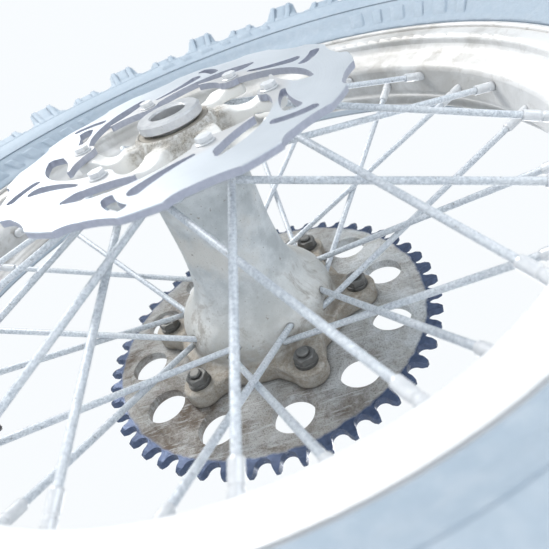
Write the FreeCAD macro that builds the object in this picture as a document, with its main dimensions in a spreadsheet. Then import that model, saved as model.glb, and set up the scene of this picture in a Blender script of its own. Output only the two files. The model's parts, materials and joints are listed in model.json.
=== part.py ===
import FreeCAD, Part
import math
import os
import Sketcher

# Rear wheel of an off-road motorcycle: a laced 18 inch rim with a knobbly tyre, a cast hub on two ball
# bearings, a brake disc on one side and a chain sprocket on the other.
# Frame: origin at the wheel's centre, the wheel turns about +Y, +Z is up. The disc side is -Y and the
# sprocket side is +Y. A profile is drawn with x as the radius and y as the place along the axle.

DOCUMENT = FreeCAD.newDocument("spoked_wheel")

# Driving dimensions in millimetres and degrees, and counts.
DIMENSIONS = {
    # tyre, tube and rim
    "tyre_radius": 338.0, "tyre_half_width": 57.0, "tread_depth": 15.0, "carcass_wall": 7.0,
    "tube_ring_radius": 272.0, "tube_section_radius": 34.0, "tube_wall": 2.0,
    "bead_radius": 228.6, "lip_radius": 242.6, "bead_half_width": 27.3, "lip_half_width": 32.8,
    "well_radius": 213.5, "well_half_width": 10.5, "rim_wall": 3.6, "tape_wall": 1.2,
    # spokes and nipples
    "spoke_radius": 2.1, "spoke_head_radius": 4.2, "spoke_head_height": 2.6, "spokes_per_set": 9,
    "nipple_first_angle": 12.5, "nipple_step_angle": 10.0, "nipple_offset": 3.0, "lacing_angle": 33.75,
    "nipple_radius": 3.3, "nipple_head_radius": 4.6, "nipple_length": 19.0, "nipple_head_height": 3.4,
    "hole_circle_radius": 54.0, "elbow_radius": 4.0,
    # hub, measured along the axle from the wheel's centre plane
    "axle_bore_radius": 11.05, "barrel_radius": 32.0, "barrel_bore_radius": 26.0,
    "disc_seat": -66.5, "disc_flange_outer": -52.5, "disc_flange_inner": -46.5, "flange_radius": 60.0,
    "disc_boss_end": -69.3, "sprocket_seat": 93.5, "sprocket_boss_end": 103.5, "ear_thickness": 13.0,
    "dome_radius": 57.0, "cavity_radius": 51.0,
    # bearings, seals and collars
    "bearing_radius": 22.0, "bearing_width": 12.0, "ball_radius": 3.3, "ball_pitch_radius": 16.5,
    "balls_per_bearing": 9, "disc_bearing_face": -60.5, "sprocket_bearing_face": 95.5,
    "collar_shank_radius": 15.0, "collar_flange_radius": 19.8, "disc_collar_face": -76.9,
    "sprocket_collar_face": 113.5, "seal_width": 5.0,
    # brake disc and its bolts
    "disc_radius": 110.0, "disc_bore_radius": 54.3, "disc_thickness": 4.0, "disc_bolt_circle": 61.4,
    "disc_bolt_angle": 52.2, "bolts_per_circle": 6, "disc_bolt_radius": 3.0, "wave_count": 12,
    # sprocket and its bolts
    "tooth_count": 50, "chain_pitch": 15.875, "roller_radius": 5.08, "sprocket_thickness": 7.0,
    "tooth_thickness": 5.8, "sprocket_bore_radius": 62.5, "sprocket_bolt_circle": 75.0,
    "sprocket_bolt_angle": 51.5, "sprocket_bolt_radius": 4.0, "lightening_radius": 14.0,
    "lightening_circle": 97.0, "lightening_angle": 6.5, "lightening_count": 12, "tooth_angle": 81.2,
    # valve and rim lock
    "valve_angle": -132.5, "valve_radius": 4.0, "valve_end_radius": 176.0,
    "rim_lock_angle": -172.5, "rim_lock_stud_radius": 4.0, "rim_lock_sweep": 17.0,
}

SHEET = DOCUMENT.addObject("Spreadsheet::Sheet", "Sizes")
for row, (word, number) in enumerate(DIMENSIONS.items(), start=1):
    SHEET.set("A%d" % row, word)
    SHEET.set("B%d" % row, str(number))
    SHEET.setAlias("B%d" % row, word)
DOCUMENT.recompute()

WHEEL_AXIS = FreeCAD.Vector(0, 1, 0)
FREE_GAP = 0.02          # between faces that only touch on the real wheel
SLIP_GAP = 0.15          # around a shank in its clearance hole
BEYOND = 400.0           # a cut this long passes right through any piece


# ---------------------------------------------------------------- sizes and sketches

class Size:
    """A length together with the spreadsheet expression that gives it."""

    def __init__(self, value, text):
        self.value = value
        self.text = text

    def joined(self, other, sign, value):
        return Size(value, "(%s %s %s)" % (self.text, sign, other.text))

    def __add__(self, other):
        other = as_size(other)
        return self.joined(other, "+", self.value + other.value)

    def __sub__(self, other):
        other = as_size(other)
        return self.joined(other, "-", self.value - other.value)

    def __mul__(self, other):
        other = as_size(other)
        return self.joined(other, "*", self.value * other.value)

    def __radd__(self, other):
        return as_size(other) + self

    def __rsub__(self, other):
        return as_size(other) - self

    def __neg__(self):
        return Size(-self.value, "(0 - %s)" % self.text)


def as_size(number):
    return number if isinstance(number, Size) else Size(float(number), "%.4f" % number)


def size(word):
    """The spreadsheet cell of that name."""
    return Size(float(SHEET.get(word)), "Sizes.%s" % word)


def amount(word):
    return float(SHEET.get(word))


def frame(origin, across, up):
    """A placement at origin whose local x runs along across and whose local y runs along up."""
    across = FreeCAD.Vector(across).normalize()
    up = FreeCAD.Vector(up).normalize()
    normal = across.cross(up)
    matrix = FreeCAD.Matrix(across.x, up.x, normal.x, origin[0],
                            across.y, up.y, normal.y, origin[1],
                            across.z, up.z, normal.z, origin[2],
                            0, 0, 0, 1)
    return FreeCAD.Placement(matrix)


def on_circle(radius, degrees, along=0.0):
    """The point at that radius and angle in the wheel's plane, and that place along the axle."""
    angle = math.radians(degrees)
    return FreeCAD.Vector(radius * math.cos(angle), along, radius * math.sin(angle))


HALF_SECTION = FreeCAD.Placement()
SIDE_VIEW = frame((0, 0, 0), (1, 0, 0), (0, 0, 1))


def new_body(name):
    body = DOCUMENT.addObject("PartDesign::Body", name)
    body.Label = name
    body.AllowCompound = True
    return body


def origin_feature(body, role):
    return next(item for item in body.Origin.OriginFeatures if item.Role == role)


def new_sketch(body, name, place=HALF_SECTION):
    sketch = body.newObject("Sketcher::SketchObject", "%s_%s" % (body.Label, name))
    sketch.AttachmentSupport = [(origin_feature(body, "XY_Plane"), "")]
    sketch.MapMode = "FlatFace"
    sketch.AttachmentOffset = place
    return sketch


def bind(sketch, kind, items, length):
    """Add one dimension to the sketch and tie it to the length's expression."""
    length = as_size(length)
    index = sketch.addConstraint(Sketcher.Constraint(kind, *items, length.value))
    if "Sizes" in length.text:
        sketch.setExpression("Constraints[%d]" % index, length.text)


def arc_between(start, end, radius, side):
    """The short arc from start to end; its centre is left of the way there for side 1, right for -1."""
    chord = end - start
    left = FreeCAD.Vector(-chord.y, chord.x, 0).normalize()
    height = math.sqrt(max(radius ** 2 - chord.Length ** 2 / 4, 0.0))
    centre = (start + end) * 0.5 + left * (side * height)
    first, last = (start, end) if side > 0 else (end, start)
    circle = Part.Circle(centre, FreeCAD.Vector(0, 0, 1), radius)
    first_angle = math.atan2(first.y - centre.y, first.x - centre.x)
    last_angle = math.atan2(last.y - centre.y, last.x - centre.x)
    return Part.ArcOfCircle(circle, first_angle, last_angle)


def add_outline(sketch, steps, closed=True):
    """Draw lines and arcs through the steps: (x, y) ends a line, (x, y, radius, side) ends an arc."""
    steps = [tuple(as_size(item) for item in step[:3]) + tuple(step[3:]) for step in steps]
    points = [FreeCAD.Vector(step[0].value, step[1].value, 0) for step in steps]
    count = len(steps)
    edges = []
    for number in range(count if closed else count - 1):
        start, end = points[number], points[(number + 1) % count]
        step = steps[(number + 1) % count]
        if len(step) == 4:
            index = sketch.addGeometry(arc_between(start, end, step[2].value, step[3]))
            start_point, end_point = (1, 2) if step[3] > 0 else (2, 1)
            edges.append((index, start_point, end_point, step[2]))
        else:
            index = sketch.addGeometry(Part.LineSegment(start, end))
            edges.append((index, 1, 2, None))
    for number, (index, start_point, end_point, radius) in enumerate(edges):
        bind(sketch, "DistanceX", (index, start_point), steps[number][0])
        bind(sketch, "DistanceY", (index, start_point), steps[number][1])
        if closed or number + 1 < len(edges):
            following = edges[(number + 1) % len(edges)]
            sketch.addConstraint(Sketcher.Constraint("Coincident", index, end_point,
                                                     following[0], following[1]))
        if radius is not None:
            bind(sketch, "Radius", (index,), radius)
    if not closed:
        bind(sketch, "DistanceX", (edges[-1][0], edges[-1][2]), steps[-1][0])
        bind(sketch, "DistanceY", (edges[-1][0], edges[-1][2]), steps[-1][1])


def add_circle(sketch, x, y, radius):
    x, y, radius = as_size(x), as_size(y), as_size(radius)
    centre = FreeCAD.Vector(x.value, y.value, 0)
    index = sketch.addGeometry(Part.Circle(centre, FreeCAD.Vector(0, 0, 1), radius.value))
    bind(sketch, "DistanceX", (index, 3), x)
    bind(sketch, "DistanceY", (index, 3), y)
    bind(sketch, "Radius", (index,), radius)


def add_hexagon(sketch, point, corner, turn=0.0):
    """A regular hexagon round a point in the wheel's plane; corner is its centre-to-corner distance."""
    angles = [math.radians(60.0 * number + turn) for number in range(6)]
    add_outline(sketch, [
        (point.x + corner * math.cos(angle), point.z + corner * math.sin(angle)) for angle in angles
    ])


# ---------------------------------------------------------------- features

def turned(body, name, steps, place=HALF_SECTION, about="V_Axis", kind="Revolution", angle=360.0):
    """Turn an outline about the sketch's own axis; kind Groove cuts with it instead."""
    sketch = new_sketch(body, "%s_outline" % name, place)
    add_outline(sketch, steps)
    feature = body.newObject("PartDesign::%s" % kind, "%s_%s" % (body.Label, name))
    feature.Profile = sketch
    feature.ReferenceAxis = (sketch, [about])
    feature.Angle = angle
    feature.Midplane = angle < 360.0
    return feature


def padded(body, name, draw, start, end, kind="Pad"):
    """Extrude a side-view drawing from start to end along the axle; kind Pocket cuts with it."""
    start, end = as_size(start), as_size(end)
    place = frame((0, start.value, 0), (1, 0, 0), (0, 0, 1))
    sketch = new_sketch(body, "%s_drawing" % name, place)
    if "Sizes" in start.text:
        # the sheet drives the drawing's place along the axle
        sketch.setExpression("AttachmentOffset.Base.y", start.text)
    draw(sketch)
    feature = body.newObject("PartDesign::%s" % kind, "%s_%s" % (body.Label, name))
    feature.Profile = sketch
    length = end - start
    feature.Length = abs(length.value)
    feature.setExpression("Length", "abs(%s)" % length.text)
    # a pad grows along the normal (-Y) and a pocket cuts against it (+Y) unless it is reversed
    grows_along_plus = length.value > 0
    feature.Reversed = grows_along_plus if kind == "Pad" else not grows_along_plus
    return feature


def cut_through(body, name, draw):
    """Cut a side-view drawing right through the piece, both ways."""
    return padded(body, name, draw, -BEYOND / 2, BEYOND / 2, kind="Pocket")


def repeated(body, features, count, name="ring"):
    """Repeat features evenly about the axle; count names a spreadsheet cell."""
    pattern = body.newObject("PartDesign::PolarPattern", "%s_%s" % (body.Label, name))
    pattern.Originals = features
    pattern.Axis = (origin_feature(body, "Y_Axis"), [""])
    pattern.Angle = 360.0
    pattern.Occurrences = int(amount(count))
    pattern.setExpression("Occurrences", "Sizes.%s" % count)
    body.Tip = pattern
    return pattern


# ---------------------------------------------------------------- tyre, tube and rim

def both_sides(half):
    """Close a +Y half outline with its mirror image, arcs included; step 0 keeps the first arc's mirror."""
    back = []
    for number in range(len(half) - 2, 0, -1):
        x, y = half[number][0], as_size(half[number][1])
        back.append((x, -y) + tuple(half[number + 1][2:]))
    start = tuple(half[0][:2]) + tuple(half[1][2:])
    return [start] + half[1:] + back


def make_tyre():
    """The tyre as one closed ring, knobs included: crown, shoulders, sidewalls and beads."""
    body = new_body("tyre")
    radius, half = size("tyre_radius"), size("tyre_half_width")
    bead, seat = size("bead_radius") + 0.3, size("bead_half_width") - 0.3
    lip, wall = size("lip_radius"), size("carcass_wall")
    crown = radius - size("tread_depth") - wall * 0.6
    outside = [
        (radius, 0), (radius - 13.0, half - 9.0, 100.0, 1), (radius - 24.0, half - 2.0, 12.0, 1),
        (radius - 50.0, half, 90.0, 1), (lip + 3.6, seat + 6.0, 58.0, 1),
        (lip + 0.8, seat), (bead, seat),
    ]
    inside = [
        (bead, seat - wall), (lip - 1.6, seat - wall + 1.5), (lip + 13.4, half - wall - 14.0),
        (radius - 53.0, half - wall - 1.0, 44.0, -1), (crown - 11.0, half - wall - 14.0, 26.0, -1),
        (crown, 0, 96.0, -1),
    ]
    turned(body, "carcass", both_sides(outside + inside))
    return body


def make_inner_tube():
    tube = DOCUMENT.addObject("Part::Torus", "tube_outside")
    tube.setExpression("Radius1", "Sizes.tube_ring_radius")
    tube.setExpression("Radius2", "Sizes.tube_section_radius")
    inside = DOCUMENT.addObject("Part::Torus", "tube_inside")
    inside.setExpression("Radius1", "Sizes.tube_ring_radius")
    inside.setExpression("Radius2", "Sizes.tube_section_radius - Sizes.tube_wall")
    shell = DOCUMENT.addObject("Part::Cut", "inner_tube")
    shell.Base = tube
    shell.Tool = inside
    # a torus is made around Z, and the wheel turns about Y
    shell.Placement = FreeCAD.Placement(FreeCAD.Vector(), FreeCAD.Rotation(FreeCAD.Vector(1, 0, 0), 90))
    shell.Label = "inner_tube"
    return shell


def rim_half_outline():
    """The rim's section on the +Y side, from the tyre side of the well round to its hub side."""
    bead, lip = size("bead_radius"), size("lip_radius")
    seat, edge = size("bead_half_width"), size("lip_half_width")
    well, flat = size("well_radius"), size("well_half_width")
    wall = size("rim_wall")
    return [
        (well, 0), (well, flat), (bead - 1.6, flat + 5.5), (bead, flat + 8.0), (bead, seat),
        (lip - 5.0, seat), (lip, seat + 3.0, 4.0, -1), (lip, edge - 1.2),
        (lip - 1.2, edge, 1.3, -1), (lip - 3.2, edge), (lip - 4.4, seat + wall - 0.6, 2.0, 1),
        (bead, seat + wall - 0.9), (bead - wall, seat - 0.6, 4.4, 1), (bead - wall, flat + 13.2),
        (bead - wall - 4.6, flat + 7.4, 9.0, -1), (well - wall + 4.2, flat + 3.6),
        (well - wall, flat - 2.0, 8.0, 1), (well - wall, 0),
    ]


def make_rim():
    body = new_body("rim")
    turned(body, "section", both_sides(rim_half_outline()))
    drilled = []
    for lacing in SPOKE_SETS:
        place = nipple_frame(lacing)
        hole = turned(body, "%s_hole" % lacing["name"], [
            (-12.0, 0), (-12.0, size("nipple_radius") + SLIP_GAP),
            (12.0, size("nipple_radius") + SLIP_GAP), (12.0, 0),
        ], place, "H_Axis", "Groove")
        seat = turned(body, "%s_seat" % lacing["name"], [
            (-FREE_GAP, 0), (-FREE_GAP, size("nipple_head_radius") + SLIP_GAP),
            (12.0, size("nipple_head_radius") + SLIP_GAP), (12.0, 0),
        ], place, "H_Axis", "Groove")
        drilled.append(repeated(body, [hole, seat], "spokes_per_set", "%s_holes" % lacing["name"]))
    for name, angle, radius in (("valve_hole", "valve_angle", "valve_radius"),
                                ("lock_hole", "rim_lock_angle", "rim_lock_stud_radius")):
        last = turned(body, name, [
            (size("well_radius") - 20.0, 0), (size("well_radius") - 20.0, size(radius) + SLIP_GAP),
            (size("well_radius") + 20.0, size(radius) + SLIP_GAP), (size("well_radius") + 20.0, 0),
        ], radial_frame(amount(angle)), "H_Axis", "Groove")
    body.Tip = last
    return body


def radial_frame(degrees):
    """A frame whose local x runs outwards along the radius at that angle."""
    return frame((0, 0, 0), on_circle(1.0, degrees), WHEEL_AXIS)


def make_rim_tape():
    body = new_body("rim_tape")
    inner = size("well_radius") + 4.6
    turned(body, "band", [
        (inner, -9.5), (inner, 9.5), (inner + size("tape_wall"), 9.5), (inner + size("tape_wall"), -9.5),
    ])
    last = None
    for name, angle, radius in (("valve_hole", "valve_angle", "valve_radius"),
                                ("lock_hole", "rim_lock_angle", "rim_lock_stud_radius")):
        last = turned(body, name, [
            (inner - 10.0, 0), (inner - 10.0, size(radius) + 0.4),
            (inner + 10.0, size(radius) + 0.4), (inner + 10.0, 0),
        ], radial_frame(amount(angle)), "H_Axis", "Groove")
    body.Tip = last
    return body


# ---------------------------------------------------------------- lacing

# Four sets of spokes. Each set has one nipple every 40 degrees. turn is the way a spoke leans from its
# hub hole to its nipple. along is the place where its line starts at the hub, and side is the side of
# the rim's centre line that its nipples sit on. Disc-side spokes are bent through the flange; sprocket-side
# ones run straight out through the dome of the hub.
SPOKE_SETS = [
    {"name": "disc_inner", "step": 0, "turn": 1, "side": -1, "elbow": 1, "circle": 54.0, "along": -43.3},
    {"name": "disc_outer", "step": 2, "turn": -1, "side": -1, "elbow": -1, "circle": 54.0, "along": -57.8},
    {"name": "sprocket_inner", "step": 1, "turn": -1, "side": 1, "elbow": 0, "circle": 53.6, "along": 66.5},
    {"name": "sprocket_outer", "step": 3, "turn": 1, "side": 1, "elbow": 0, "circle": 57.0, "along": 73.5},
]
HEAD_DEPTH = {"sprocket_inner": 7.5, "sprocket_outer": 9.5}    # from the hub's skin back to the head's seat


def lacing_points(lacing):
    """The spoke line's start at the hub, and its nipple seat at the rim."""
    nipple_angle = amount("nipple_first_angle") + lacing["step"] * amount("nipple_step_angle")
    hub_angle = nipple_angle - lacing["turn"] * amount("lacing_angle")
    seat_radius = amount("well_radius") - 1.0
    hub_point = on_circle(lacing["circle"], hub_angle, lacing["along"])
    rim_point = on_circle(seat_radius, nipple_angle, lacing["side"] * amount("nipple_offset"))
    return hub_point, rim_point


def spoke_frame(lacing, at_rim):
    """Local x runs outwards along the spoke; local y stays in the plane that holds the axle's direction."""
    hub_point, rim_point = lacing_points(lacing)
    across = (rim_point - hub_point).normalize()
    up = WHEEL_AXIS - across * WHEEL_AXIS.dot(across)
    return frame(tuple(rim_point if at_rim else hub_point), across, up)


def nipple_frame(lacing):
    return spoke_frame(lacing, at_rim=True)


def spoke_length(lacing):
    hub_point, rim_point = lacing_points(lacing)
    return (rim_point - hub_point).Length


def spoke_end(lacing):
    """Where the shank ends inside its nipple, measured from the line's start."""
    return spoke_length(lacing) - 3.0


def make_straight_spokes(lacing):
    body = new_body("spokes_%s" % lacing["name"])
    head, shank = size("spoke_head_radius"), size("spoke_radius")
    seat = as_size(-HEAD_DEPTH[lacing["name"]])
    end = spoke_end(lacing)
    spoke = turned(body, "spoke", [
        (seat - size("spoke_head_height"), 0), (seat - size("spoke_head_height") + 0.6, head - 0.8),
        (seat - 1.0, head), (seat, head), (seat, shank), (end, shank), (end, 0),
    ], spoke_frame(lacing, at_rim=False), "H_Axis")
    repeated(body, [spoke], "spokes_per_set")
    return body


def elbow_frame(lacing):
    """Local x runs flat towards the nipple and local y along the axle, from the axle's centre plane."""
    hub_point, rim_point = lacing_points(lacing)
    across = FreeCAD.Vector(rim_point.x - hub_point.x, 0, rim_point.z - hub_point.z)
    return frame((hub_point.x, 0, hub_point.z), across, WHEEL_AXIS)


def make_bent_spokes(lacing):
    """A spoke whose head sits on the disc-side flange and whose shank bends round its edge."""
    body = new_body("spokes_%s" % lacing["name"])
    hub_point, rim_point = lacing_points(lacing)
    reach = math.hypot(rim_point.x - hub_point.x, rim_point.z - hub_point.z)
    corner = FreeCAD.Vector(0, hub_point.y, 0)
    far = FreeCAD.Vector(reach, rim_point.y, 0)
    way = (far - corner).normalize()
    end = corner + way * spoke_end(lacing)
    onwards = FreeCAD.Vector(0, lacing["elbow"], 0)
    turn = math.acos(onwards.dot(way))
    trim = amount("elbow_radius") * math.tan(turn / 2)
    bend_start = corner - onwards * trim
    bend_end = corner + way * trim
    outer, inner = size("disc_flange_outer"), size("disc_flange_inner")
    seat = outer - FREE_GAP if lacing["elbow"] > 0 else inner + FREE_GAP
    bend_side = 1 if onwards.cross(way).z > 0 else -1
    head, height = size("spoke_head_radius"), size("spoke_head_height")
    rise = 1 if lacing["elbow"] < 0 else -1
    top = height * rise
    start = seat + top * 0.3
    place = elbow_frame(lacing)
    path = new_sketch(body, "path", place)
    add_outline(path, [
        (0, start), (0, bend_start.y), (bend_end.x, bend_end.y, size("elbow_radius"), bend_side),
        (end.x, end.y),
    ], closed=False)
    section_place = frame((hub_point.x, start.value, hub_point.z), (1, 0, 0), (0, 0, 1))
    section = new_sketch(body, "section", section_place)
    add_circle(section, 0, 0, size("spoke_radius"))
    shank = body.newObject("PartDesign::AdditivePipe", "%s_shank" % body.Label)
    shank.Profile = section
    shank.Spine = path
    crown = height.value * 0.65
    dome = turned(body, "head", [
        (0, seat), (head, seat), (head, seat + top * 0.35),
        (0, seat + top, (head.value ** 2 + crown ** 2) / (2 * crown), rise),
    ], place)
    repeated(body, [shank, dome], "spokes_per_set")
    return body


def make_nipples(lacing):
    """A stepped nipple: head in the rim's well, hexagon-sized body towards the hub."""
    body = new_body("nipples_%s" % lacing["name"])
    bore = size("spoke_radius") + 0.1
    barrel, head = size("nipple_radius"), size("nipple_head_radius")
    length, height = size("nipple_length"), size("nipple_head_height")
    nipple = turned(body, "nipple", [
        (0, bore), (0, head), (height * 0.6, head), (height, head - 1.4), (height, bore),
    ], nipple_frame(lacing), "H_Axis")
    barrel_part = turned(body, "barrel", [
        (-length, bore), (-length, barrel - 0.5), (-length + 0.8, barrel - 0.1),
        (-length + 9.0, barrel - 0.1), (-length + 9.6, barrel - 0.5), (-length + 10.6, barrel - 0.5),
        (-length + 11.2, barrel), (0.4, barrel), (0.4, bore),
    ], nipple_frame(lacing), "H_Axis")
    repeated(body, [nipple, barrel_part], "spokes_per_set")
    return body


# ---------------------------------------------------------------- hub

def hub_outline():
    """Half section: down the bores from the sprocket end, then back along the outside."""
    race = size("bearing_radius")
    shoulder = size("barrel_bore_radius") - 8.5
    disc_inner_face = size("disc_bearing_face") + size("bearing_width")
    sprocket_inner_face = size("sprocket_bearing_face") - size("bearing_width")
    outer, inner = size("disc_flange_outer"), size("disc_flange_inner")
    seat, boss = size("sprocket_seat"), size("sprocket_boss_end")
    barrel, dome, cavity = size("barrel_radius"), size("dome_radius"), size("cavity_radius")
    clip = size("sprocket_bearing_face") + 0.3
    return [
        # bores
        (race, boss), (race, clip + 1.5), (race + 1.2, clip + 1.5), (race + 1.2, clip), (race, clip),
        (race, sprocket_inner_face), (shoulder, sprocket_inner_face),
        (shoulder, sprocket_inner_face - 4.0), (size("barrel_bore_radius"), sprocket_inner_face - 12.0),
        (size("barrel_bore_radius"), disc_inner_face + 11.0), (shoulder, disc_inner_face + 4.0),
        (shoulder, disc_inner_face), (race, disc_inner_face), (race, size("disc_boss_end")),
        # bearing boss on the disc side
        (race + 2.2, size("disc_boss_end")), (race + 3.0, size("disc_boss_end") + 0.8),
        (race + 3.0, size("disc_boss_end") + 2.4), (race + 4.0, size("disc_boss_end") + 3.4),
        (race + 5.6, outer - 4.0), (race + 11.0, outer, 7.5, 1),
        # spoke flange
        (size("flange_radius") - 1.4, outer), (size("flange_radius"), outer + 1.4),
        (size("flange_radius"), inner - 1.4), (size("flange_radius") - 1.4, inner),
        (size("hole_circle_radius") - 5.4, inner), (barrel + 8.0, inner + 1.0),
        (barrel, inner + 11.0, 11.0, -1),
        # barrel and dome
        (barrel, 3.0), (barrel + 3.0, 35.0, 174.0, -1), (barrel + 15.0, 56.5, 34.0, -1),
        (dome - 0.6, 67.5, 20.0, 1), (dome, 70.0, 6.0, 1), (dome + 1.0, seat - size("ear_thickness")),
        # rim of the sprocket flange and its pilot
        (dome + 6.6, seat - size("ear_thickness")), (dome + 8.0, seat - size("ear_thickness") + 1.4),
        (dome + 8.0, seat), (size("sprocket_bore_radius") - 0.1, seat),
        (size("sprocket_bore_radius") - 0.1, seat + 4.6), (size("sprocket_bore_radius") - 1.4, seat + 6.0),
        # hollow round the sprocket-side bearing boss, where the spoke heads sit
        (cavity + 2.0, seat + 6.0), (cavity, seat - 4.0), (cavity, 72.5),
        (cavity - 6.5, 62.8, 12.0, -1), (cavity - 12.5, 60.5), (barrel + 1.5, 64.0, 5.0, 1),
        (race + 7.5, 84.0), (race + 6.0, boss - 1.0), (race + 5.0, boss),
    ]


def polar_points(sketch, steps):
    """Draw a side-view outline whose steps are (radius, degrees) or (radius, degrees, arc, side)."""
    plane_steps = []
    for step in steps:
        angle = math.radians(step[1])
        radius = as_size(step[0])
        plane_steps.append((radius * math.cos(angle), radius * math.sin(angle)) + tuple(step[2:]))
    add_outline(sketch, plane_steps)


def swept_arm_outline(angle, root, circle):
    """An arm that leaves the boss ahead of its bolt and curves back to a round pad about it."""
    pad_radius = 7.6
    sweep = 26.0
    root_turn = 15.0
    pad_turn = math.degrees(math.atan2(pad_radius, circle.value))
    pad_reach = circle * (1.0 / math.cos(math.radians(pad_turn)))
    return [
        (root, angle + sweep - root_turn), (pad_reach, angle - pad_turn, 48.0, -1),
        (circle + pad_radius, angle, pad_radius, 1), (pad_reach, angle + pad_turn, pad_radius, 1),
        (root, angle + sweep + root_turn, 60.0, 1),
    ]


def arm_outline(angle, root, circle, root_half, tip_radius):
    """A tapered arm from the root radius to a round end about the bolt circle."""
    tip_turn = math.degrees(math.atan2(tip_radius, circle.value))
    root_turn = math.degrees(math.atan2(root_half, root.value))
    tip_reach = circle * (1.0 / math.cos(math.radians(tip_turn)))
    return [
        (root, angle - root_turn), (tip_reach, angle - tip_turn),
        (circle + tip_radius, angle, tip_radius, 1), (tip_reach, angle + tip_turn, tip_radius, 1),
        (root, angle + root_turn),
    ]


def make_hub():
    body = new_body("hub")
    turned(body, "casting", hub_outline())
    disc_angle, disc_circle = amount("disc_bolt_angle"), size("disc_bolt_circle")
    flange, arm_top = size("disc_flange_outer"), size("disc_seat") + FREE_GAP
    arms = padded(body, "disc_arm", lambda sketch: polar_points(
        sketch, swept_arm_outline(disc_angle, size("bearing_radius") + 3.5, disc_circle)),
        flange, arm_top)
    repeated(body, [arms], "bolts_per_circle", "disc_arms")
    # the arms stand clear of the spokes that cross the flange, and dip between the boss and their pads
    channel, channel_end = size("hole_circle_radius") - 6.5, size("disc_bolt_circle") + 10.0
    turned(body, "spoke_channel", [
        (channel, flange), (channel_end, flange), (channel_end, flange - 6.4), (channel, flange - 6.4),
    ], kind="Groove")
    turned(body, "arm_dip", [
        (size("barrel_radius") + 1.0, arm_top - 0.5), (disc_circle - 7.9, arm_top - 0.5, 15.4, -1),
    ], kind="Groove")
    angle, circle = amount("sprocket_bolt_angle"), size("sprocket_bolt_circle")
    ears = padded(body, "sprocket_ear", lambda sketch: polar_points(
        sketch, arm_outline(angle, size("dome_radius") + 4.0, circle, 24.0, 12.5)),
        size("sprocket_seat") - size("ear_thickness"), size("sprocket_seat"))
    repeated(body, [ears], "bolts_per_circle", "sprocket_ears")
    disc_hole = padded(body, "disc_thread", lambda sketch: add_circle(
        sketch, *flat_point(disc_circle, disc_angle), size("disc_bolt_radius") + 0.1),
        size("disc_seat") + 12.0, size("disc_seat") - 4.0, kind="Pocket")
    repeated(body, [disc_hole], "bolts_per_circle", "disc_threads")
    bolt_hole = padded(body, "sprocket_hole", lambda sketch: add_circle(
        sketch, *flat_point(circle, angle), size("sprocket_bolt_radius") + SLIP_GAP),
        size("sprocket_seat") - 20.0, size("sprocket_seat") + 4.0, kind="Pocket")
    repeated(body, [bolt_hole], "bolts_per_circle", "sprocket_holes")
    for lacing in SPOKE_SETS:
        if lacing["elbow"]:
            hub_point, _ = lacing_points(lacing)
            place = frame((hub_point.x, 0, hub_point.z), (1, 0, 0), WHEEL_AXIS)
            holes = [turned(body, "%s_hole" % lacing["name"], [
                (0, size("disc_flange_outer") - 3.0), (0, size("disc_flange_inner") + 3.0),
                (size("spoke_radius") + SLIP_GAP, size("disc_flange_inner") + 3.0),
                (size("spoke_radius") + SLIP_GAP, size("disc_flange_outer") - 3.0),
            ], place, "V_Axis", "Groove")]
        else:
            place = spoke_frame(lacing, at_rim=False)
            seat = -HEAD_DEPTH[lacing["name"]] + FREE_GAP
            holes = [turned(body, "%s_hole" % lacing["name"], [
                (seat - 1.0, 0), (seat - 1.0, size("spoke_radius") + SLIP_GAP),
                (14.0, size("spoke_radius") + SLIP_GAP), (14.0, 0),
            ], place, "H_Axis", "Groove"), turned(body, "%s_sink" % lacing["name"], [
                (seat - 6.0, 0), (seat - 6.0, size("spoke_head_radius") + SLIP_GAP),
                (seat, size("spoke_head_radius") + SLIP_GAP), (seat, 0),
            ], place, "H_Axis", "Groove")]
        repeated(body, holes, "spokes_per_set", "%s_holes" % lacing["name"])
    return body


def flat_point(radius, degrees):
    """The two side-view coordinates of a point on a circle round the axle."""
    angle = math.radians(degrees)
    return as_size(radius) * math.cos(angle), as_size(radius) * math.sin(angle)


# ---------------------------------------------------------------- bearings, seals and collars

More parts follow.
